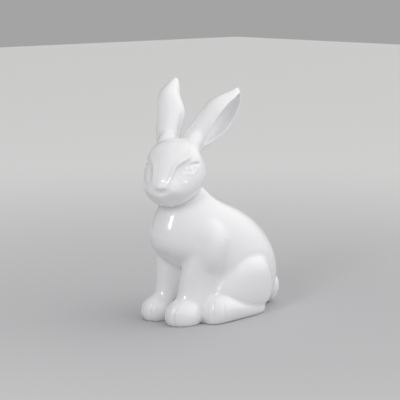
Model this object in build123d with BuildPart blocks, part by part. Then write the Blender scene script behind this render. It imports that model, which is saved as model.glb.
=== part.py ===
from build123d import *

import os
from math import cos, radians, sin

# Seated ceramic rabbit ornament, cast in separate parts and luted together.
# Frame: millimetres, +Z up, the rabbit faces -Y and its left side is +X.
# The origin lies on the surface that the ornament stands on, under the middle of the trunk.
# Trunk and head are hollow castings, joined inside through the throat and vented underneath.
# Every other piece is cut by the pieces that carry it, so each seat has the shape below it.

# Walls and cuts
wall = 4.0
overrun = 2.0  # how far a cutting shape runs past what it cuts

# Trunk: an egg seen from above at every height, chest in front, rump behind
trunk_height = 98.0
trunk_half_width = 30.0
chest_reach = 56.0
rump_reach = 56.0
base_thickness = 5.0
vent_radius = 5.0

# Head, measured from its own middle
head_half_width = 21.4
head_up = 24.0
head_down = 24.0
head_front = 30.0
head_back = 24.0
head_turn = 22.5
neck_sink = 15.5  # how far the neck rises past the underside of the head
throat_radius = 7.0

# Ears, their tips measured from the middle of the head
ear_half_width = 11.6
ear_inner_bulge = 11.6
ear_outer_bulge = 13.0
ear_scoop_half_width = 8.8
ear_scoop_depth = 10.0
left_ear_tip_out = 26.5
left_ear_tip_rise = 56.4
right_ear_tip_out = 23.0
right_ear_tip_rise = 62.5
ear_tip_behind = 50.0

# Eyes and nose
eye_radius = 3.8
eye_proud = 0.6
nose_radius = 4.6
nose_proud = 0.8

# Forelegs and paws
shoulder_half_width = 11.0
shoulder_half_length = 21.0
foreleg_height = 70.0
paw_half_width = 12.0
paw_half_length = 15.0
paw_height = 18.0

# Haunches and hind feet
haunch_half_width = 11.2
haunch_half_length = 30.0
haunch_height = 45.0
haunch_behind = 9.0
haunch_proud = 4.0  # how far haunch and hind foot stand out from the trunk's side
hind_foot_half_length = 31.0
hind_foot_half_width = 10.2
hind_foot_height = 19.2
hind_foot_splay = 6.0

# Tail
tail_radius = 11.0
tail_half_height = 12.0
tail_clearance = 1.5  # gap between the tail and the table
tail_sink = 2.0  # how far the tail's middle lies inside the rump's reach

# Places that follow from the trunk, which carries all the rest
vent_behind = 0.4 * rump_reach
head_forward = 0.652 * chest_reach
throat_forward = 0.85 * head_forward
head_middle_height = trunk_height - neck_sink + head_down
paw_spread = 0.417 * trunk_half_width
paw_forward = 0.723 * chest_reach
haunch_out = trunk_half_width + haunch_proud - haunch_half_width
hind_foot_out = haunch_out
tail_behind = rump_reach - tail_sink


def egg(plane, half_width, front, back, side=0.0, middle=0.0):
    """Smooth closed outline of two half ellipses: front reach towards -y, back reach towards +y."""
    with BuildSketch(plane) as outline:
        with BuildLine():
            EllipticalCenterArc((side, middle), half_width, back, 0, arc_size=180)
            EllipticalCenterArc((side, middle), half_width, front, 180, arc_size=180)
        make_face()
    return outline.sketch


# Height, half width, chest reach, rump reach and widest place, as shares of the trunk's sizes.
trunk_shares = [
    (0.000, 0.80, 0.40, 0.76, 0.10),
    (0.065, 0.89, 0.45, 0.92, 0.09),
    (0.180, 0.96, 0.47, 1.05, 0.08),
    (0.285, 1.00, 0.50, 1.06, 0.05),
    (0.367, 1.01, 0.58, 1.02, 0.03),
    (0.423, 1.01, 0.69, 0.98, 0.02),
    (0.470, 1.00, 0.82, 0.93, 0.00),
    (0.515, 0.99, 0.92, 0.88, -0.02),
    (0.565, 0.97, 0.98, 0.82, -0.05),
    (0.645, 0.93, 1.00, 0.69, -0.12),
    (0.720, 0.86, 0.97, 0.52, -0.18),
    (0.790, 0.76, 0.91, 0.31, -0.26),
    (0.840, 0.66, 0.86, 0.08, -0.32),
    (0.885, 0.57, 0.81, -0.11, -0.37),
    (0.940, 0.49, 0.74, -0.23, -0.42),
    (1.000, 0.43, 0.66, -0.32, -0.47),
]


def trunk_sections(inset, first_height, last_height):
    """The trunk's outlines, drawn in by inset, with the two end outlines moved to the given heights."""
    sections = []
    for place, (height, width, chest, rump, widest) in enumerate(trunk_shares):
        level = height * trunk_height
        if place == 0:
            level = first_height
        if place == len(trunk_shares) - 1:
            level = last_height
        middle = widest * rump_reach
        sections.append(
            egg(
                Plane.XY.offset(level),
                width * trunk_half_width - inset,
                chest * chest_reach + middle - inset,
                rump * rump_reach - middle - inset,
                middle=middle,
            )
        )
    return sections


with BuildPart() as trunk_form:
    loft(trunk_sections(0, 0, trunk_height))

with BuildPart() as trunk_hollow:
    loft(trunk_sections(wall, base_thickness, trunk_height + overrun))

# The head's frame looks out of the face: local x is the rabbit's left, y is up.
face_left = Vector(cos(radians(head_turn)), sin(radians(head_turn)), 0)
face_ahead = Vector(sin(radians(head_turn)), -cos(radians(head_turn)), 0)
face_up = Vector(0, 0, 1)
head_middle = Vector(0, -head_forward, head_middle_height)
head_frame = Plane(origin=head_middle, x_dir=face_left, z_dir=face_ahead)


def head_point(left, ahead, up):
    """A point given in the head's own directions."""
    return head_middle + face_left * left + face_ahead * ahead + face_up * up


# Place ahead of the middle, half width, widest level, top and bottom, as shares of the head's sizes.
head_shares = [
    (-0.93, 0.36, 0.10, 0.45, 0.18),
    (-0.80, 0.60, 0.10, 0.68, 0.42),
    (-0.55, 0.83, 0.06, 0.89, 0.70),
    (-0.25, 0.96, 0.00, 0.99, 0.90),
    (0.05, 1.00, -0.08, 1.00, 0.99),
    (0.33, 0.96, -0.20, 0.86, 1.00),
    (0.55, 0.83, -0.32, 0.63, 0.95),
    (0.74, 0.63, -0.41, 0.30, 0.85),
    (0.88, 0.43, -0.43, 0.00, 0.72),
    (0.96, 0.24, -0.42, -0.19, 0.60),
]
back_pole_rise_share = 0.15
nose_pole_drop_share = 0.41
eye_side_share = 0.88
eye_ahead_share = 0.42
eye_rise_share = 0.18


def head_sections(inset):
    """Upright outlines of the head from its back to its nose, drawn in by inset."""
    sections = []
    for ahead, width, widest, top, bottom in head_shares:
        reach = head_front if ahead > 0 else head_back
        level = widest * head_up
        sections.append(
            egg(
                head_frame.offset(ahead * (reach - inset)),
                width * (head_half_width - inset),
                level + bottom * (head_down - inset),
                top * (head_up - inset) - level,
                middle=level,
            )
        )
    return sections


back_pole = Vertex(*head_point(0, -head_back, back_pole_rise_share * head_up))
nose_pole = Vertex(*head_point(0, head_front, -nose_pole_drop_share * head_up))

with BuildPart() as head_form:
    loft([back_pole, *head_sections(0), nose_pole])

with BuildPart() as head_hollow:
    loft(head_sections(wall))

eye_points = [
    head_point(
        side * (eye_side_share * head_half_width + eye_proud - eye_radius),
        eye_ahead_share * head_front,
        eye_rise_share * head_up,
    )
    for side in (1, -1)
]
nose_point = nose_pole.center() + face_ahead * (nose_proud - nose_radius)

with BuildPart() as head_shell:
    add(head_form.part)
    with Locations(*eye_points):
        Sphere(eye_radius)
    with Locations(nose_point):
        Sphere(nose_radius)
    add(head_hollow.part, mode=Mode.SUBTRACT)
    with Locations((0, -throat_forward, head_middle_height)):
        Cylinder(
            throat_radius,
            head_down,
            align=(Align.CENTER, Align.CENTER, Align.MAX),
            mode=Mode.SUBTRACT,
        )

with BuildPart() as trunk_shell:
    add(trunk_form.part)
    add(trunk_hollow.part, mode=Mode.SUBTRACT)
    add(head_form.part, mode=Mode.SUBTRACT)
    with Locations((0, vent_behind, 0)):
        Cylinder(
            vent_radius,
            base_thickness + overrun,
            align=(Align.CENTER, Align.CENTER, Align.MIN),
            mode=Mode.SUBTRACT,
        )

# Ears: place along, half width, inner bulge, outer bulge and outward lean, as shares of the ear's sizes.
left_ear_shares = [
    (0.000, 0.50, 0.58, 0.45, -0.07),
    (0.120, 0.62, 0.75, 0.55, -0.18),
    (0.250, 0.73, 0.77, 0.69, -0.23),
    (0.350, 0.80, 0.76, 0.76, -0.18),
    (0.460, 0.92, 0.87, 0.90, -0.07),
    (0.590, 1.00, 1.00, 1.00, 0.00),
    (0.700, 0.93, 0.95, 0.93, 0.00),
    (0.790, 0.77, 0.68, 0.78, 0.04),
    (0.875, 0.55, 0.38, 0.54, 0.14),
    (0.940, 0.35, 0.22, 0.31, 0.10),
    (0.980, 0.20, 0.14, 0.17, 0.03),
]
right_ear_shares = [
    (0.000, 0.50, 0.53, 0.52, 0.06),
    (0.150, 0.63, 0.63, 0.61, 0.09),
    (0.300, 0.72, 0.68, 0.70, 0.11),
    (0.430, 0.85, 0.82, 0.84, 0.09),
    (0.545, 0.93, 0.90, 0.93, 0.06),
    (0.620, 0.95, 0.87, 0.91, 0.11),
    (0.700, 0.90, 0.77, 0.82, 0.17),
    (0.780, 0.78, 0.63, 0.66, 0.21),
    (0.840, 0.62, 0.53, 0.53, 0.17),
    (0.900, 0.44, 0.38, 0.36, 0.08),
    (0.950, 0.30, 0.26, 0.23, 0.01),
    (0.982, 0.18, 0.16, 0.14, 0.00),
]
# The hollow of an ear: place along, half width, depth and outward place, as shares of the scoop's sizes.
left_scoop_shares = [
    (0.280, 0.18, 0.30, 0.64),
    (0.400, 0.60, 0.62, 0.72),
    (0.520, 0.92, 0.85, 0.84),
    (0.650, 1.00, 1.00, 0.96),
    (0.780, 0.72, 0.84, 0.88),
    (0.880, 0.40, 0.50, 0.82),
    (0.940, 0.18, 0.22, 0.64),
]
right_scoop_shares = [
    (0.300, 0.20, 0.30, 0.94),
    (0.420, 0.64, 0.64, 0.98),
    (0.540, 0.93, 0.88, 1.02),
    (0.660, 0.93, 0.88, 1.06),
    (0.780, 0.68, 0.66, 0.96),
    (0.870, 0.40, 0.44, 0.76),
    (0.930, 0.18, 0.20, 0.48),
]
ear_root_out_share = 0.28
ear_root_behind_share = 0.08
ear_root_rise_share = 0.33


def make_ear(side, tip_out, tip_rise, ear_shares, scoop_shares):
    """A cupped leaf that opens outwards; side is 1 for the left ear and -1 for the right."""
    root = head_point(
        side * ear_root_out_share * head_half_width,
        -ear_root_behind_share * head_back,
        ear_root_rise_share * head_up,
    )
    tip = head_point(side * tip_out, -ear_tip_behind, tip_rise)
    run = tip - root
    across = (face_left * side).cross(run).normalized()
    outer = [
        egg(
            Plane(root + run * along, x_dir=across, z_dir=run.normalized()),
            width * ear_half_width,
            inner_bulge * ear_inner_bulge,
            outer_bulge * ear_outer_bulge,
            middle=lean * ear_outer_bulge,
        )
        for along, width, inner_bulge, outer_bulge, lean in ear_shares
    ]
    scoop = [
        egg(
            Plane(root + run * along, x_dir=across, z_dir=run.normalized()),
            width * ear_scoop_half_width,
            depth * ear_scoop_depth,
            2 * ear_outer_bulge,
            middle=place * ear_scoop_depth,
        )
        for along, width, depth, place in scoop_shares
    ]
    with BuildPart() as ear:
        loft([*outer, Vertex(*tip)])
        loft(scoop, mode=Mode.SUBTRACT)
        add(head_form.part, mode=Mode.SUBTRACT)
    return ear


left_ear = make_ear(1, left_ear_tip_out, left_ear_tip_rise, left_ear_shares, left_scoop_shares)
right_ear = make_ear(-1, right_ear_tip_out, right_ear_tip_rise, right_ear_shares, right_scoop_shares)

# Forelegs: height, place outwards and forwards, half width and half length, as shares.
foreleg_shares = [
    (0.00, 1.00, 0.94, 0.84, 0.57),
    (0.10, 1.00, 0.92, 0.86, 0.60),
    (0.19, 0.92, 0.83, 0.90, 0.70),
    (0.26, 0.89, 0.70, 0.94, 0.81),
    (0.36, 0.88, 0.63, 0.97, 0.84),
    (0.47, 0.92, 0.58, 1.00, 0.90),
    (0.60, 1.12, 0.50, 1.04, 0.98),
    (0.74, 1.45, 0.46, 1.08, 0.90),
    (0.88, 1.60, 0.44, 0.95, 0.76),
    (1.00, 1.60, 0.45, 0.60, 0.50),
    (1.06, 1.50, 0.46, 0.30, 0.25),
]

# Height and girth of a rounded paw or foot, as shares.
loaf_shares = [
    (0.00, 0.80),
    (0.07, 0.90),
    (0.18, 0.98),
    (0.35, 1.00),
    (0.55, 0.95),
    (0.75, 0.80),
    (0.90, 0.55),
    (0.97, 0.31),
]


def loaf(plane, half_width, half_length, height):
    """A low loaf with a flat underside on the plane and a round top."""
    sections = [
        egg(plane.offset(rise * height), girth * half_width, girth * half_length, girth * half_length)
        for rise, girth in loaf_shares
    ]
    return [*sections, Vertex(*plane.offset(height).origin)]


# Left limbs; the right ones are their mirror images.
with BuildPart() as left_foreleg:
    loft(
        [
            egg(
                Plane.XY.offset(height * foreleg_height),
                width * shoulder_half_width,
                length * shoulder_half_length,
                length * shoulder_half_length,
                out * paw_spread,
                -forward * paw_forward,
            )
            for height, out, forward, width, length in foreleg_shares
        ]
    )
    loft(loaf(Plane((paw_spread, -paw_forward, 0)), paw_half_width, paw_half_length, paw_height))
    add(trunk_form.part, mode=Mode.SUBTRACT)

# Hind foot, from heel to toes: place ahead, half width, underside and top, as shares.
hind_foot_shares = [
    (-0.95, 0.44, -0.05, 0.43),
    (-0.85, 0.70, -0.16, 0.53),
    (-0.48, 0.90, -0.16, 0.64),
    (-0.16, 0.96, -0.16, 0.77),
    (0.16, 0.98, -0.16, 0.89),
    (0.45, 1.02, -0.16, 0.98),
    (0.68, 1.00, -0.16, 1.00),
    (0.84, 0.87, -0.16, 0.90),
    (0.95, 0.60, -0.08, 0.68),
    (0.99, 0.32, 0.08, 0.50),
]
heel_rise_share = 0.20
toe_ahead_share = 1.01
toe_rise_share = 0.29

foot_left = Vector(cos(radians(hind_foot_splay)), sin(radians(hind_foot_splay)), 0)
foot_ahead = Vector(sin(radians(hind_foot_splay)), -cos(radians(hind_foot_splay)), 0)
foot_frame = Plane(origin=(hind_foot_out, 0, 0), x_dir=foot_left, z_dir=foot_ahead)
foot_sections = [
    egg(
        foot_frame.offset(ahead * hind_foot_half_length),
        width * hind_foot_half_width,
        (top - under) / 2 * hind_foot_height,
        (top - under) / 2 * hind_foot_height,
        middle=(top + under) / 2 * hind_foot_height,
    )
    for ahead, width, under, top in hind_foot_shares
]
heel = foot_frame.origin - foot_ahead * hind_foot_half_length + face_up * heel_rise_share * hind_foot_height
toe = (
    foot_frame.origin
    + foot_ahead * toe_ahead_share * hind_foot_half_length
    + face_up * toe_rise_share * hind_foot_height
)

with BuildPart() as left_hind_foot:
    loft([Vertex(*heel), *foot_sections, Vertex(*toe)])
    split(bisect_by=Plane.XY)
    add(trunk_form.part, mode=Mode.SUBTRACT)
    add(left_foreleg.part, mode=Mode.SUBTRACT)

# Haunches: height, half width, front reach and back reach, as shares.
haunch_shares = [
    (0.13, 0.60, 0.70, 0.68),
    (0.23, 0.83, 0.94, 0.86),
    (0.38, 0.98, 1.03, 0.92),
    (0.55, 1.01, 0.93, 0.90),
    (0.71, 0.97, 0.76, 0.83),
    (0.84, 0.86, 0.63, 0.72),
    (0.93, 0.63, 0.47, 0.52),
    (0.98, 0.34, 0.26, 0.30),
]

haunch_sections = [
    egg(
        Plane.XY.offset(height * haunch_height),
        width * haunch_half_width,
        front * haunch_half_length,
        back * haunch_half_length,
        haunch_out,
        haunch_behind,
    )
    for height, width, front, back in haunch_shares
]

with BuildPart() as left_haunch:
    loft([*haunch_sections, Vertex(haunch_out, haunch_behind, haunch_height)])
    for carrier in (trunk_form, left_foreleg, left_hind_foot):
        add(carrier.part, mode=Mode.SUBTRACT)

# Tail: a short egg standing against the rump.
with BuildPart() as tail:
    with BuildSketch(Plane.XZ.offset(-tail_behind)) as tail_profile:
        with BuildLine():
            EllipticalCenterArc(
                (0, tail_clearance + tail_half_height),
                tail_radius,
                tail_half_height,
                -90,
                arc_size=180,
            )
            Line((0, tail_clearance), (0, tail_clearance + 2 * tail_half_height))
        make_face()
    revolve(axis=Axis((0, tail_behind, 0), (0, 0, 1)))
    add(trunk_form.part, mode=Mode.SUBTRACT)

if __name__ == "__main__":
    os.makedirs("parts", exist_ok=True)
    pieces = {
        "trunk_shell": trunk_shell.part,
        "head_shell": head_shell.part,
        "left_ear": left_ear.part,
        "right_ear": right_ear.part,
        "tail": tail.part,
    }
    limbs = {"foreleg": left_foreleg, "hind_foot": left_hind_foot, "haunch": left_haunch}
    for name, limb in limbs.items():
        pieces[f"left_{name}"] = limb.part
        pieces[f"right_{name}"] = mirror(limb.part, about=Plane.YZ)
    for label, piece in pieces.items():
        piece.label = label
        export_step(piece, f"parts/{label}.step")
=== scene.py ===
import math

import bmesh
import bpy
import numpy as np
from mathutils import Matrix, Vector


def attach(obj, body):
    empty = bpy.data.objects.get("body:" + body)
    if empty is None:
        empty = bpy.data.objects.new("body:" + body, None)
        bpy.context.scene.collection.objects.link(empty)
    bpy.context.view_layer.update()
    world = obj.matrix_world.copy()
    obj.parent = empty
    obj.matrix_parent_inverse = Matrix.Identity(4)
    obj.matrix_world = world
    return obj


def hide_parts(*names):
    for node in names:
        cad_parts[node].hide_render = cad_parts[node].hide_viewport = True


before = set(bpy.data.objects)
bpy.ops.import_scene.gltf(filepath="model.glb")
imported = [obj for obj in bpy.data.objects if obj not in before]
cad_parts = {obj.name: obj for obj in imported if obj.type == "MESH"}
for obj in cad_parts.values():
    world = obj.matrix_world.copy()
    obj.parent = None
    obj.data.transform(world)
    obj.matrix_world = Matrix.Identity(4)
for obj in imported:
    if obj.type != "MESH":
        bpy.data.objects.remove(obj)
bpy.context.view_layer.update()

# Glossy white ceramic rabbit, luted together from cast parts and glazed.
# Lengths in the tables below are millimetres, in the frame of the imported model.
# The clay forms are grown ring by ring, pressed together, smoothed, carved,
# and then cut along the seams into the pieces that were luted together.

MM = 0.001
coarse_grain = 1.2
middle_grain = 0.9
fine_grain = 0.5


# Handling of the clay

def take(*pieces):
    """Select only these pieces, the last one active."""
    bpy.ops.object.select_all(action="DESELECT")
    for piece in pieces:
        piece.select_set(True)
    bpy.context.view_layer.objects.active = pieces[-1]


def grown(name, rings, turn=None, place=(0, 0, 0)):
    """Grow a closed form along its own z.

    A ring is level, half width, reach to the front (-y), reach to the back (+y), side and middle.
    """
    bpy.ops.object.select_all(action="DESELECT")
    bpy.ops.mesh.primitive_circle_add(vertices=32, radius=MM, fill_type="NGON")
    form = bpy.context.object
    form.name = name
    bpy.ops.object.mode_set(mode="EDIT")
    bpy.ops.mesh.select_mode(type="VERT")
    old = (0, 1, 1, 1, 0, 0)
    for step, ring in enumerate(rings):
        if step:
            bpy.ops.mesh.extrude_region_move()
        level, width, front, back, side, middle = ring
        centre = Vector((old[4], old[5], old[0])) * MM
        bpy.ops.transform.resize(value=(width / old[1], 1, 1), center_override=centre)
        cap = len(form_points(form)) - 32
        for half, growth in ((-1, front / old[2]), (1, back / old[3])):
            choose(form, lambda v: v.index >= cap and (v.co.y - centre.y) * half > 1e-7)
            bpy.ops.transform.resize(value=(1, growth, 1), center_override=centre)
        choose(form, lambda v: v.index >= cap)
        shift = Vector((side, middle, level)) * MM - centre
        bpy.ops.transform.translate(value=shift)
        old = ring
    bpy.ops.object.mode_set(mode="OBJECT")
    refine = form.modifiers.new("refine", "SUBSURF")
    refine.levels = refine.render_levels = 2
    bpy.ops.object.modifier_apply(modifier=refine.name)
    if turn is not None:
        form.matrix_world = Matrix.Translation(Vector(place) * MM) @ turn.to_4x4()
        bpy.ops.object.transform_apply(location=True, rotation=True, scale=True)
    right_way_out(form)
    return form


def form_points(form):
    return bmesh.from_edit_mesh(form.data).verts


def choose(form, wanted):
    """Select the vertices that answer the question, and the faces between them."""
    bpy.ops.mesh.select_all(action="DESELECT")
    mesh = bmesh.from_edit_mesh(form.data)
    mesh.verts.index_update()
    for vertex in mesh.verts:
        if wanted(vertex):
            vertex.select_set(True)
    mesh.select_flush(True)
    bmesh.update_edit_mesh(form.data)


def right_way_out(form):
    take(form)
    bpy.ops.object.mode_set(mode="EDIT")
    bpy.ops.mesh.select_all(action="SELECT")
    bpy.ops.mesh.normals_make_consistent(inside=False)
    bpy.ops.object.mode_set(mode="OBJECT")


def pinch(place, size, turn=(0, 0, 0)):
    """A rounded pinch of clay, its three half sizes along its own turned axes."""
    bpy.ops.object.select_all(action="DESELECT")
    bpy.ops.mesh.primitive_uv_sphere_add(
        segments=32, ring_count=16, radius=1,
        location=Vector(place) * MM, rotation=[math.radians(a) for a in turn],
    )
    lump = bpy.context.object
    lump.scale = Vector(size) * MM
    bpy.ops.object.transform_apply(location=True, rotation=True, scale=True)
    return lump


def pressed(name, forms, grain):
    """Press forms together into one skin whose faces are about grain wide."""
    take(*forms)
    if len(forms) > 1:
        bpy.ops.object.join()
    body = bpy.context.object
    body.name = name
    press = body.modifiers.new("press", "REMESH")
    press.mode = "VOXEL"
    press.voxel_size = grain * MM
    bpy.ops.object.modifier_apply(modifier=press.name)
    return body


def wiped(piece, times, strength=0.5, where=None):
    """Smooth the clay with a damp sponge, all over or only where the question says how much."""
    take(piece)
    sponge = piece.modifiers.new("sponge", "SMOOTH")
    sponge.factor = strength
    sponge.iterations = times
    if where is not None:
        group = piece.vertex_groups.new(name="sponge")
        amounts = where(points_of(piece))
        for index in np.nonzero(amounts > 0.001)[0]:
            group.add([int(index)], float(amounts[index]), "REPLACE")
        sponge.vertex_group = group.name
    bpy.ops.object.modifier_apply(modifier=sponge.name)
    piece.vertex_groups.clear()
    return piece


def points_of(piece):
    """All points of a piece, in millimetres."""
    flat = np.empty(len(piece.data.vertices) * 3)
    piece.data.vertices.foreach_get("co", flat)
    return flat.reshape(-1, 3) / MM


def outward_of(piece):
    flat = np.empty(len(piece.data.vertices) * 3, dtype=np.float32)
    piece.data.vertex_normals.foreach_get("vector", flat)
    return flat.reshape(-1, 3).astype(float)


def move_points(piece, points):
    piece.data.vertices.foreach_set("co", (points * MM).ravel())
    piece.data.update()


def stroke(piece, path, width, height):
    """Draw a modelling tool along a path: height above 0 raises the clay, below 0 presses it in."""
    points = points_of(piece)
    path = np.array(path, dtype=float)
    near = np.nonzero(
        ((points > path.min(axis=0) - 2 * width) & (points < path.max(axis=0) + 2 * width)).all(axis=1)
    )[0]
    local = points[near]
    facing = outward_of(piece)[near]
    track = []
    for start, end in zip(path[:-1], path[1:]):
        steps = max(2, int(np.linalg.norm(end - start) / 0.3))
        track += [start + (end - start) * step / steps for step in range(steps)]
    track = np.array([*track, path[-1]])
    spots, ways = [], []
    for spot in track:
        spot = local[np.argsort(np.linalg.norm(local - spot, axis=1))[:8]].mean(axis=0)
        spots.append(spot)
        ways.append(facing[np.linalg.norm(local - spot, axis=1) < max(width, 2.5)].mean(axis=0))
    spots, ways = evened(spots), evened(ways)
    ways /= np.linalg.norm(ways, axis=1)[:, None]
    away = np.linalg.norm(local[:, None] - spots[None], axis=2)
    nearest = away.argmin(axis=1)
    fade = np.sin(np.pi * (0.12 + 0.76 * nearest / (len(spots) - 1)))
    reach = np.clip(1 - (away.min(axis=1) / width) ** 2, 0, 1) ** 2 * fade
    points[near] = local + ways[nearest] * (reach * height)[:, None]
    move_points(piece, points)


def evened(row):
    """A row of vectors with the unevenness between neighbours taken out."""
    row = np.array(row)
    for _ in range(8):
        row[1:-1] = (row[:-2] + 2 * row[1:-1] + row[2:]) / 4
    return row


def dab(piece, place, width, height):
    """Press a fingertip in, or raise a spot."""
    points = points_of(piece)
    distance = np.linalg.norm(points - np.array(place, dtype=float), axis=1)
    near = np.nonzero(distance < width)[0]
    reach = (1 - (distance[near] / width) ** 2) ** 2
    way = outward_of(piece)[near].mean(axis=0)
    points[near] += (way / np.linalg.norm(way)) * (reach * height)[:, None]
    move_points(piece, points)


def finer(piece, place, reach):
    """Halve the faces around a place, for work with a small tool."""
    take(piece)
    centre = Vector(place) * MM
    bpy.ops.object.mode_set(mode="EDIT")
    choose(piece, lambda v: (v.co - centre).length < reach * MM)
    bpy.ops.mesh.subdivide(number_cuts=1)
    bpy.ops.object.mode_set(mode="OBJECT")


def thinned(piece, most):
    """Take out faces where the clay is flat, until no more than this many triangles are left."""
    take(piece)
    piece.data.calc_loop_triangles()
    count = len(piece.data.loop_triangles)
    if count > most:
        thin = piece.modifiers.new("thin", "DECIMATE")
        thin.ratio = most / count
        bpy.ops.object.modifier_apply(modifier=thin.name)


def joined_by(piece, tool, way):
    """Add or cut away the tool's form, and drop the tool."""
    take(piece)
    cut = piece.modifiers.new("cut", "BOOLEAN")
    cut.operation = way
    cut.solver = "MANIFOLD"
    cut.object = tool
    bpy.ops.object.modifier_apply(modifier=cut.name)
    bpy.data.objects.remove(tool)
    return piece


# Trunk: level, half width, front, back and widest place
trunk_table = [
    (-3.0, 24.0, -22.4, 42.6, 5.6),
    (6.4, 26.7, -25.0, 51.8, 5.0),
    (17.6, 28.8, -26.5, 59.1, 4.5),
    (27.9, 30.2, -27.5, 59.8, 2.8),
    (36.0, 30.5, -31.5, 57.6, 1.7),
    (41.5, 30.4, -38.0, 55.2, 0.9),
    (46.1, 30.2, -46.0, 52.6, 0.0),
    (50.5, 29.8, -51.8, 49.5, -1.2),
    (55.4, 29.3, -55.4, 46.2, -2.8),
    (63.2, 28.0, -56.6, 38.8, -6.7),
    (70.6, 25.8, -54.6, 29.1, -10.1),
    (77.4, 22.8, -51.2, 17.2, -14.6),
    (82.3, 19.8, -48.2, 4.2, -17.9),
    (86.7, 17.1, -45.4, -6.2, -20.7),
    (92.1, 14.7, -41.4, -12.9, -23.5),
    (98.0, 12.9, -37.0, -17.9, -26.3),
]
trunk_rings = [
    (level, width, middle - front, back - middle, 0, middle)
    for level, width, front, back, middle in trunk_table
]

# Foreleg: level, half width, half length, place outwards and place ahead
foreleg_table = [
    (-3.0, 9.8, 12.0, 12.5, -37.0),
    (7.0, 10.0, 13.8, 12.2, -34.8),
    (13.3, 10.6, 17.4, 11.9, -29.4),
    (18.2, 11.1, 19.6, 11.7, -25.0),
    (25.2, 11.5, 20.0, 11.8, -22.3),
    (32.9, 11.8, 21.0, 12.3, -21.2),
    (42.0, 11.8, 21.0, 14.4, -19.6),
    (51.8, 11.4, 18.6, 18.2, -18.6),
    (61.6, 9.8, 14.6, 19.6, -18.0),
    (70.0, 6.2, 9.4, 19.0, -18.2),
]

# Paw: share of the height and girth
loaf_table = [
    (-0.15, 0.80), (0.00, 0.86), (0.07, 0.93), (0.18, 0.99), (0.35, 1.01), (0.55, 0.96),
    (0.75, 0.81), (0.90, 0.56), (0.97, 0.32), (1.00, 0.08),
]

# Hind foot, from heel to toes: place ahead, half width, underside and top
foot_table = [
    (-30.9, 1.0, 1.5, 6.0),
    (-29.8, 4.5, -1.0, 8.4),
    (-26.5, 7.2, -3.0, 10.4),
    (-15.0, 9.3, -3.0, 12.6),
    (-5.0, 9.9, -3.0, 15.0),
    (5.0, 10.1, -3.0, 17.4),
    (14.0, 10.5, -3.0, 19.2),
    (21.0, 10.3, -3.0, 19.5),
    (26.0, 9.0, -3.0, 17.6),
    (29.6, 6.2, -1.5, 13.3),
    (31.2, 3.2, 1.6, 9.6),
    (31.7, 0.6, 4.6, 6.4),
]

# Haunch: level, half width, front reach and back reach
haunch_table = [
    (5.0, 5.4, 19.0, 19.0),
    (7.0, 7.6, 24.0, 23.0),
    (10.3, 9.4, 28.5, 26.0),
    (17.2, 11.1, 31.4, 27.6),
    (25.0, 11.6, 28.4, 27.0),
    (32.0, 11.3, 23.4, 25.0),
    (38.0, 10.2, 19.6, 21.6),
    (42.0, 8.0, 15.4, 16.6),
    (44.6, 4.6, 9.4, 10.0),
    (45.4, 0.8, 2.0, 2.0),
]

head_turn = 22.5
head_middle = Vector((0, -36.5, 106.5))
face_turn = Matrix.Rotation(math.radians(head_turn), 3, "Z")
# A form grown along z and turned by this looks out of the face, its y upwards
look_ahead = face_turn @ Matrix(((1, 0, 0), (0, 0, -1), (0, 1, 0)))


look_along_floor = Matrix(((1, 0, 0), (0, 0, -1), (0, 1, 0)))


def on_head(left, ahead, up):
    """A place given in the head's own directions."""
    return head_middle + face_turn @ Vector((left, -ahead, up))


def on_face(left, ahead, up):
    """The face looks a little further round than the head."""
    return head_middle + Matrix.Rotation(math.radians(head_turn + 3), 3, "Z") @ Vector((left, -ahead, up))


# Head: place ahead of its middle, half width, widest level, top and bottom
head_table = [
    (-24.0, 1.0, 3.6, 4.6, 2.6),
    (-22.3, 7.7, 2.4, 10.8, -4.3),
    (-19.2, 12.8, 2.4, 16.3, -10.1),
    (-13.2, 17.8, 1.4, 21.4, -16.8),
    (-6.0, 20.5, 0.0, 23.8, -21.6),
    (1.5, 21.4, -1.9, 24.0, -23.8),
    (9.9, 20.5, -4.8, 20.6, -24.0),
    (16.5, 17.8, -7.7, 15.1, -22.8),
    (22.2, 13.5, -9.8, 7.2, -20.4),
    (26.4, 9.2, -10.3, 0.0, -17.3),
    (28.8, 5.1, -10.1, -4.6, -14.4),
    (29.8, 1.0, -9.8, -8.9, -10.7),
]

# Ears: place along, half width, inner bulge, outer bulge and how far the middle lies outwards
left_ear_table = [
    (0.00, 6.0, 7.0, 6.0, -1.0),
    (0.12, 7.4, 9.0, 7.4, -2.4),
    (0.25, 8.7, 9.2, 9.2, -3.1),
    (0.35, 9.6, 9.1, 10.2, -2.4),
    (0.46, 11.0, 10.4, 12.0, -1.0),
    (0.59, 12.0, 12.0, 13.4, 0.0),
    (0.70, 11.2, 11.4, 12.4, 0.0),
    (0.79, 9.2, 8.2, 10.4, 0.5),
    (0.875, 6.6, 4.5, 7.2, 2.0),
    (0.94, 4.2, 2.6, 4.2, 1.3),
    (0.98, 2.6, 1.9, 2.4, 0.4),
    (1.0, 1.0, 0.7, 0.8, 0.1),
]
left_scoop_table = [
    (0.22, 0.6, 1.0, 6.4),
    (0.30, 2.4, 4.0, 6.8),
    (0.40, 5.4, 6.2, 7.4),
    (0.52, 8.4, 8.6, 8.4),
    (0.65, 9.0, 10.0, 9.6),
    (0.78, 6.4, 8.4, 8.8),
    (0.88, 3.6, 5.0, 8.2),
    (0.95, 1.3, 2.0, 6.2),
]
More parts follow.
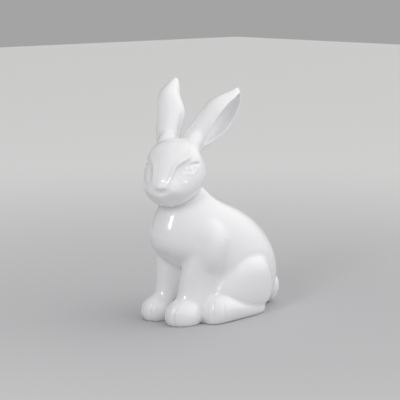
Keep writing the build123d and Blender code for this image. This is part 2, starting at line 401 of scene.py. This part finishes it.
right_ear_table = [
    (0.00, 6.0, 6.4, 7.0, 0.8),
    (0.15, 7.6, 7.6, 8.2, 1.2),
    (0.30, 8.6, 8.2, 9.4, 1.4),
    (0.43, 10.2, 9.8, 11.2, 1.2),
    (0.545, 11.2, 10.8, 12.4, 0.8),
    (0.62, 11.4, 10.4, 12.2, 1.4),
    (0.70, 10.8, 9.2, 11.0, 2.2),
    (0.78, 9.4, 7.6, 8.9, 2.7),
    (0.84, 7.4, 6.3, 7.1, 2.2),
    (0.90, 5.3, 4.6, 4.8, 1.1),
    (0.95, 3.6, 3.1, 3.1, 0.1),
    (0.982, 2.2, 1.9, 1.9, 0.0),
    (0.998, 0.7, 0.7, 0.7, 0.0),
]
right_scoop_table = [
    (0.24, 0.6, 1.0, 9.2),
    (0.32, 2.6, 4.0, 9.6),
    (0.42, 5.6, 6.4, 9.9),
    (0.54, 8.2, 8.8, 10.2),
    (0.66, 8.2, 8.8, 10.6),
    (0.78, 6.0, 6.6, 9.6),
    (0.87, 3.5, 4.4, 7.6),
    (0.94, 1.3, 1.7, 4.6),
]


def ear_shape(side, tip_out, tip_rise, leaf_table):
    """Root, turn and rings of an ear's leaf."""
    root = on_head(side * 6.0, -1.9, 7.9)
    run = on_head(side * tip_out, -50.0, tip_rise) - root
    across = (face_turn @ Vector((side, 0, 0))).cross(run).normalized()
    upright = run.normalized()
    turn = Matrix((across, upright.cross(across), upright)).transposed()
    rings = [
        (along * run.length, width, inner, outer, 0, middle)
        for along, width, inner, outer, middle in leaf_table
    ]
    return root, turn, rings


def ear(shape, scoop_table):
    """A cupped leaf that opens outwards."""
    root, turn, rings = shape
    leaf = grown("leaf", rings, turn, root)
    length = rings[-1][0] / left_ear_table[-1][0]
    scoop = grown(
        "scoop",
        [(along * length, width, depth, 25, 0, middle) for along, width, depth, middle in scoop_table],
        turn, root,
    )
    cup = joined_by(leaf, scoop, "DIFFERENCE")
    return wiped(pressed("ear", [cup], fine_grain), 8)


left_ear_shape = ear_shape(1, 26.5, 56.4, left_ear_table)
right_ear_shape = ear_shape(-1, 23.0, 62.5, right_ear_table)


def loaf_rings(half_width, half_length, height):
    return [
        (rise * height, girth * half_width, girth * half_length, girth * half_length, 0, 0)
        for rise, girth in loaf_table
    ]


def foreleg_rings(side):
    return [
        (level, width, length, length, side * out, ahead)
        for level, width, length, out, ahead in foreleg_table
    ]


def haunch_rings(side):
    return [(level, width, front, back, side * 23, 9) for level, width, front, back in haunch_table]


foot_rings = [
    (ahead, width, (top - under) / 2, (top - under) / 2, 0, (top + under) / 2)
    for ahead, width, under, top in foot_table
]


def foot_turn(side):
    """Hind feet point a little outwards."""
    return Matrix.Rotation(math.radians(side * 6), 3, "Z") @ look_along_floor


# Torso with its upper arms, pressed and wiped until they flow into each other
torso_forms = [grown("trunk", trunk_rings)]
for side in (1, -1):
    torso_forms.append(grown("foreleg", foreleg_rings(side)))
    torso_forms.append(pinch((side * 20.5, -22, 54), (10.8, 14, 20)))
skin = wiped(pressed("skin", torso_forms, coarse_grain), 20)

# Haunches
haunch_forms = [grown("haunch", haunch_rings(side)) for side in (1, -1)]
skin = wiped(pressed("skin", [*haunch_forms, skin], middle_grain), 10)

# Paws, hind feet and tail; then the underside is cut flat
small_forms = [pinch((0, 54, 12.5), (11, 11, 13.0))]
for side in (1, -1):
    small_forms.append(grown("paw", loaf_rings(12, 15, 18), Matrix.Identity(3), (side * 12.5, -40.5, 0)))
    small_forms.append(grown("hind_foot", foot_rings, foot_turn(side), (side * 23, 0, 0)))
    small_forms.append(pinch((side * 17, -23, 4), (8.5, 10, 9)))
skin = wiped(pressed("skin", [*small_forms, skin], middle_grain), 4)
bpy.ops.object.select_all(action="DESELECT")
bpy.ops.mesh.primitive_cube_add(size=1, location=(0, 0, -10 * MM))
table_top = bpy.context.object
table_top.scale = Vector((200, 200, 20)) * MM
bpy.ops.object.transform_apply(location=True, rotation=True, scale=True)
skin = joined_by(skin, table_top, "DIFFERENCE")

def near(places, reach):
    """A question that wiped asks: how much of the sponge a point gets."""
    def amount(points):
        away = [np.linalg.norm(points - np.array(place), axis=1) for place in places]
        return np.clip(1.5 * (1 - np.min(away, axis=0) / reach), 0, 1)

    return amount


skin = wiped(skin, 30, where=near([(12, -44, 18), (-12, -44, 18), (0, 51, 23)], 14))

# Head and ears
head_rings = [
    (ahead, width, widest - bottom, top - widest, 0, widest)
    for ahead, width, widest, top, bottom in head_table
]
head_forms = [
    grown("head", head_rings, look_ahead, head_middle),
    ear(left_ear_shape, left_scoop_table),
    ear(right_ear_shape, right_scoop_table),
    pinch(on_face(0, 27.2, -7.4), (5.2, 3.6, 3.2), (0, 0, head_turn + 3)),
]
head_forms += [
    pinch(on_head(side * 8.8, -5.4, 17.6), (6.8, 7.4, 14.0), (-40, side * 17, head_turn)) for side in (1, -1)
]
skin = wiped(pressed("skin", [*head_forms, skin], fine_grain), 8)


ear_roots = [on_head(side * 9, -4, 20) for side in (1, -1)]
skin = wiped(skin, 150, where=near(ear_roots, 14))
for side in (1, -1):
    dab(skin, on_head(side * 14, 4, 15), 15, 1.6)

# Face
eyes = [on_face(side * 16.5, 12, 5.5) for side in (1, -1)]
for eye_place in eyes:
    finer(skin, eye_place, 15)
for eye_place in eyes:
    finer(skin, eye_place, 7.5)
for side in (1, -1):
    def face_path(*spots):
        return [on_face(side * left, ahead, up) for left, ahead, up in spots]

    depth = 1.0 if side > 0 else 0.6
    stroke(skin, face_path((11.5, 21.0, -2.5), (13.5, 18.0, 1.5), (15.5, 15.0, 3.5)), 6.2, -0.7 * depth)
    skin = wiped(skin, 30, where=near([on_face(side * 13, 20.5, -5), on_face(side * 17, 15, -3)], 8))
    stroke(skin, face_path(
        (8.6, 25.4, -6.0), (9.4, 23.8, -2.8), (10.2, 21.4, 0.8), (11.2, 19.0, 4.0), (13.2, 16.2, 6.0), (15.2, 13.4, 7.6)),
        4.3, -1.6 * depth)
    dab(skin, on_face(side * 17.0, 12.4, 4.6), 4.6, -1.0 * depth)
    dab(skin, on_face(side * 17.0, 12.6, 4.3), 2.9, 1.3 * depth)
    stroke(skin, face_path((14.2, 17.6, 2.4), (15.4, 15.8, 2.7), (16.2, 14.4, 3.0)), 2.0, -0.5 * depth)
    stroke(skin, face_path(
        (14.2, 17.6, 1.4), (16.0, 15.4, 1.2), (17.6, 13.4, 1.2), (18.9, 10.8, 2.0), (19.8, 8.4, 3.4), (20.0, 6.6, 5.2)),
        2.6, 0.35 * depth)
    stroke(skin, face_path((17.2, 11.2, 7.2), (18.3, 8.8, 7.3), (19.3, 6.4, 7.2), (19.9, 4.6, 7.2)), 1.9, -1.3 * depth)
skin = wiped(skin, 8, where=near(eyes, 15))
for side in (1, -1):
    stroke(skin, face_path(
        (5.2, 27.6, -5.8), (6.0, 26.4, -3.2), (6.6, 24.2, 0.9), (7.4, 21.8, 5.0), (9.0, 19.2, 7.8),
        (11.2, 16.2, 9.4), (13.9, 12.2, 11.2), (14.8, 9.8, 13.2), (14.2, 7.6, 15.4)), 2.4, 1.1 if side > 0 else 0.3)
    dab(skin, on_face(side * 8, 25, -9), 8, 0.5)
    stroke(skin, [on_face(side * 1, 27.5, -15.5), on_face(side * 7, 25, -16.5), on_face(side * 13, 20, -17)], 7, -0.8)
skin = wiped(skin, 20, where=near([on_face(0, 26, -16), on_face(8, 23, -16), on_face(-8, 23, -16)], 9))
stroke(skin, [on_face(-5, 29, -10.6), on_face(0, 30, -11.4), on_face(5, 29, -10.6)], 3.2, -1.2)
stroke(skin, [on_face(0, 30, -10.6), on_face(0, 29.4, -14.2)], 1.8, -0.4)
skin = wiped(skin, 2)

# Toes
for side in (1, -1):
    for toe_x, paw_front in ((side * 8.2, -54.4), (side * 16.4, -54.0)):
        stroke(skin, [
            (toe_x, paw_front + 3.4, 13.0), (toe_x, paw_front + 0.4, 9.0),
            (toe_x, paw_front - 0.2, 5.0), (toe_x, paw_front + 1.0, 0.8),
        ], 2.0, -0.7)
    for along, out in ((-27.6, 29.4), (-21.8, 33.4)):
        stroke(skin, [(side * (out - 1), along + 1, 15.0), (side * out, along, 10.0), (side * out, along, 3.0)], 2.0, -0.6)

# How far a wiped copy rises out of the hollows, in millimetres: the hollows get glaze pooling and painted shade in the
# colour, the ridges thinner glaze
take(skin)
bpy.ops.object.duplicate()
wiped_copy = wiped(bpy.context.object, 25)
rise = ((points_of(wiped_copy) - points_of(skin)) * outward_of(skin)).sum(axis=1)
bpy.data.objects.remove(wiped_copy)
hollow_rise = skin.data.attributes.new("hollow_rise", "FLOAT", "POINT")
hollow_rise.data.foreach_set("value", rise.astype(np.float32))


# Parting the skin into the pieces that were luted together

def fuller(rings, extra=1.0):
    """The same rings, grown by a little all round."""
    low, high = rings[0][0], rings[-1][0]
    return [
        (
            level + extra * ((level == high) - (level == low)),
            width + extra, front + extra, back + extra, side, middle,
        )
        for level, width, front, back, side, middle in rings
    ]


def parted(name, form):
    """Cut a piece off the skin along a form."""
    take(form)
    bpy.ops.object.duplicate()
    second = bpy.context.object
    take(skin)
    bpy.ops.object.duplicate()
    piece = bpy.context.object
    piece.name = name
    joined_by(skin, second, "DIFFERENCE")
    return joined_by(piece, form, "INTERSECT")


pieces = {"tail": parted("tail", pinch((0, 54, 12.5), (11.8, 11.8, 13.8)))}
for side, word in ((1, "left"), (-1, "right")):
    name = word + "_hind_foot"
    pieces[name] = parted(name, grown("form", fuller(foot_rings), foot_turn(side), (side * 23, 0, 0)))
    name = word + "_foreleg"
    leg_form = grown("form", fuller(foreleg_rings(side)))
    paw_form = grown("form", fuller(loaf_rings(12, 15, 18)), Matrix.Identity(3), (side * 12.5, -40.5, 0))
    pieces[name] = parted(name, joined_by(leg_form, paw_form, "UNION"))
    name = word + "_haunch"
    pieces[name] = parted(name, grown("form", fuller(haunch_rings(side))))
for name, shape in (("left_ear", left_ear_shape), ("right_ear", right_ear_shape)):
    root, turn, rings = shape
    pieces[name] = parted(name, grown("form", fuller(rings[2:]), turn, root))
pieces["head_shell"] = parted("head_shell", grown("form", fuller(head_rings, 0.6), look_ahead, head_middle))
pieces["trunk_shell"] = skin
skin.name = "trunk_shell"

# The trunk is hollow and has the vent hole of the casting underneath
wall = 4.0
hollow_rings = [
    (level, width - wall, front - wall, back - wall, side, middle)
    for level, width, front, back, side, middle in trunk_rings[1:-3]
]
hollow_rings[0] = (wall + 1, *hollow_rings[0][1:])
joined_by(skin, grown("hollow", hollow_rings), "DIFFERENCE")
bpy.ops.object.select_all(action="DESELECT")
bpy.ops.mesh.primitive_cylinder_add(
    vertices=48, radius=5 * MM, depth=3 * wall * MM, location=Vector((0, 22.4, 0)) * MM,
)
joined_by(skin, bpy.context.object, "DIFFERENCE")

for name, piece in pieces.items():
    thinned(piece, 160000)
    bpy.ops.object.shade_smooth_by_angle(angle=math.radians(50))
    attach(piece, "root")
    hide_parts(name)


# Finishes

class Wire:
    """A socket that can be used in sums."""

    def __init__(self, finish, socket):
        self.finish = finish
        self.socket = socket

    def _sum(self, way, first, second):
        return self.finish.add("ShaderNodeMath", {"operation": way}, {0: first, 1: second})

    def __add__(self, other):
        return self._sum("ADD", self, other)

    __radd__ = __add__

    def __sub__(self, other):
        return self._sum("SUBTRACT", self, other)

    def __rsub__(self, other):
        return self._sum("SUBTRACT", other, self)

    def __mul__(self, other):
        return self._sum("MULTIPLY", self, other)

    __rmul__ = __mul__

    def __truediv__(self, other):
        return self._sum("DIVIDE", self, other)


class Finish:
    """The nodes of a material or of the sky, added one by one."""

    def __init__(self, owner):
        owner.use_nodes = True
        self.owner = owner
        self.tree = owner.node_tree
        self.tree.nodes.clear()

    def add(self, kind, settings=None, sockets=None, out=0):
        node = self.tree.nodes.new(kind)
        for name, value in (settings or {}).items():
            setattr(node, name, value)
        for name, value in (sockets or {}).items():
            if isinstance(value, Wire):
                self.tree.links.new(value.socket, node.inputs[name])
            else:
                node.inputs[name].default_value = value
        return Wire(self, node.outputs[out]) if node.outputs else None


glaze = Finish(bpy.data.materials.new("white_glaze"))
place = glaze.add("ShaderNodeTexCoord", out=3)
ripple = glaze.add("ShaderNodeTexNoise", {}, {"Vector": place, "Scale": 55.0, "Detail": 1.0})
orange_peel = glaze.add("ShaderNodeTexNoise", {}, {"Vector": place, "Scale": 420.0, "Detail": 2.0})
hollowness = glaze.add("ShaderNodeAttribute", {"attribute_name": "hollow_rise"}, out=2)
# Mask of the hollows and creases, which get glaze pooling and painted shade
pooling_and_shade_mask = glaze.add("ShaderNodeMapRange", {}, {0: hollowness, 1: 0.10, 2: 0.50, 3: 0.0, 4: 1.0})
thin = glaze.add("ShaderNodeMapRange", {}, {0: hollowness, 1: -0.12, 2: -0.5, 3: 0.0, 4: 1.0})
body_white = glaze.add(
    "ShaderNodeMix", {"data_type": "RGBA"},
    {0: ripple, 6: (0.83, 0.83, 0.845, 1), 7: (0.86, 0.86, 0.87, 1)}, out=2,
)
# Darker grey in hollows and creases: partly glaze pooling, partly painted shade
pooling_and_painted_shade = glaze.add(
    "ShaderNodeMix", {"data_type": "RGBA"},
    {0: pooling_and_shade_mask * 0.9, 6: body_white, 7: (0.60, 0.61, 0.64, 1)}, out=2,
)
edge_white = glaze.add(
    "ShaderNodeMix", {"data_type": "RGBA"},
    {0: thin * 0.6, 6: pooling_and_painted_shade, 7: (0.88, 0.875, 0.86, 1)}, out=2,
)
wave = glaze.add("ShaderNodeBump", {}, {"Height": ripple, "Strength": 0.25, "Distance": 0.0012})
peel = glaze.add("ShaderNodeBump", {}, {"Height": orange_peel, "Strength": 0.12, "Distance": 0.0001, "Normal": wave})
surface = glaze.add("ShaderNodeBsdfPrincipled", {}, {
    "Base Color": edge_white,
    "Roughness": 0.28 + 0.08 * orange_peel,
    "Normal": wave,
    "Coat Weight": 1.0,
    "Coat Roughness": 0.035,
    "Coat Normal": peel,
})
glaze.add("ShaderNodeOutputMaterial", {}, {"Surface": surface})
for piece in pieces.values():
    piece.data.materials.clear()
    piece.data.materials.append(glaze.owner)

# Floor
bpy.ops.object.select_all(action="DESELECT")
bpy.ops.mesh.primitive_plane_add(size=6, location=(0, 0, -0.0001))
floor = bpy.context.object
floor.name = "floor"
paper = Finish(bpy.data.materials.new("pale_floor"))
spot_on_floor = paper.add("ShaderNodeTexCoord", out=3)
distance = paper.add("ShaderNodeVectorMath", {"operation": "LENGTH"}, {0: spot_on_floor}, out=1)
# Darker near the rabbit and paler farther out: painted shade on the floor around it
painted_shade_fade = paper.add("ShaderNodeMapRange", {"interpolation_type": "SMOOTHSTEP"}, {0: distance, 1: 0.05, 2: 0.9})
floor_with_painted_shade = paper.add(
    "ShaderNodeMix", {"data_type": "RGBA"},
    {0: painted_shade_fade, 6: (0.50, 0.50, 0.51, 1), 7: (0.74, 0.74, 0.735, 1)}, out=2,
)
paper_surface = paper.add("ShaderNodeBsdfPrincipled", {}, {"Base Color": floor_with_painted_shade, "Roughness": 0.7})
paper.add("ShaderNodeOutputMaterial", {}, {"Surface": paper_surface})
floor.data.materials.append(paper.owner)

# Light
bpy.context.scene.world = bpy.data.worlds.new("studio")
sky = Finish(bpy.context.scene.world)
looking = sky.add("ShaderNodeTexCoord")


def toward(azimuth, elevation):
    """The direction of a place in the studio, azimuth counted from the front to the rabbit's left."""
    turn, rise = math.radians(azimuth), math.radians(elevation)
    return Vector((math.sin(turn) * math.cos(rise), -math.cos(turn) * math.cos(rise), math.sin(rise)))


def soft_patch(azimuth, elevation, spread, strength):
    """A bright part of the studio without edges, fading out at an angle of spread from its middle."""
    middle = toward(azimuth, elevation)
    facing = sky.add("ShaderNodeVectorMath", {"operation": "DOT_PRODUCT"}, {0: looking, 1: middle}, out=1)
    return strength * sky.add(
        "ShaderNodeMapRange", {"interpolation_type": "SMOOTHSTEP"}, {0: facing, 1: math.cos(math.radians(spread))})


glow = 0.37 + soft_patch(138, 56, 80, 0.72) + soft_patch(150, 12, 60, 0.5)
air = sky.add("ShaderNodeBackground", {}, {"Color": (1, 1, 1, 1), "Strength": glow})
sky.add("ShaderNodeOutputWorld", {}, {"Surface": air})


def softbox(name, azimuth, elevation, distance, width, height, watts):
    """A lamp with a rectangular window, aimed at the middle of the rabbit."""
    aim = Vector((0, -0.01, 0.07))
    way = toward(azimuth, elevation)
    lamp = bpy.data.lights.new(name, "AREA")
    lamp.shape = "RECTANGLE"
    lamp.size, lamp.size_y = width, height
    lamp.energy = watts
    holder = bpy.data.objects.new(name, lamp)
    bpy.context.collection.objects.link(holder)
    holder.location = aim + way * distance
    holder.rotation_euler = way.to_track_quat("Z", "Y").to_euler()
    return holder


softbox("window_left", 18, 30, 1.5, 0.30, 0.58, 5.4)
softbox("lamp_right", 98, 17, 1.5, 0.06, 0.09, 0.32)

# Camera
lens = bpy.data.cameras.new("camera")
lens.lens = 144
lens.sensor_width = 36
eye = bpy.data.objects.new("camera", lens)
bpy.context.collection.objects.link(eye)
eye.location = (0.82135, -0.79230, 0.25372)
eye.rotation_euler = (math.radians(90 - 8.531), 0, math.radians(46.5))
bpy.context.scene.camera = eye
bpy.context.scene.view_settings.view_transform = "Standard"
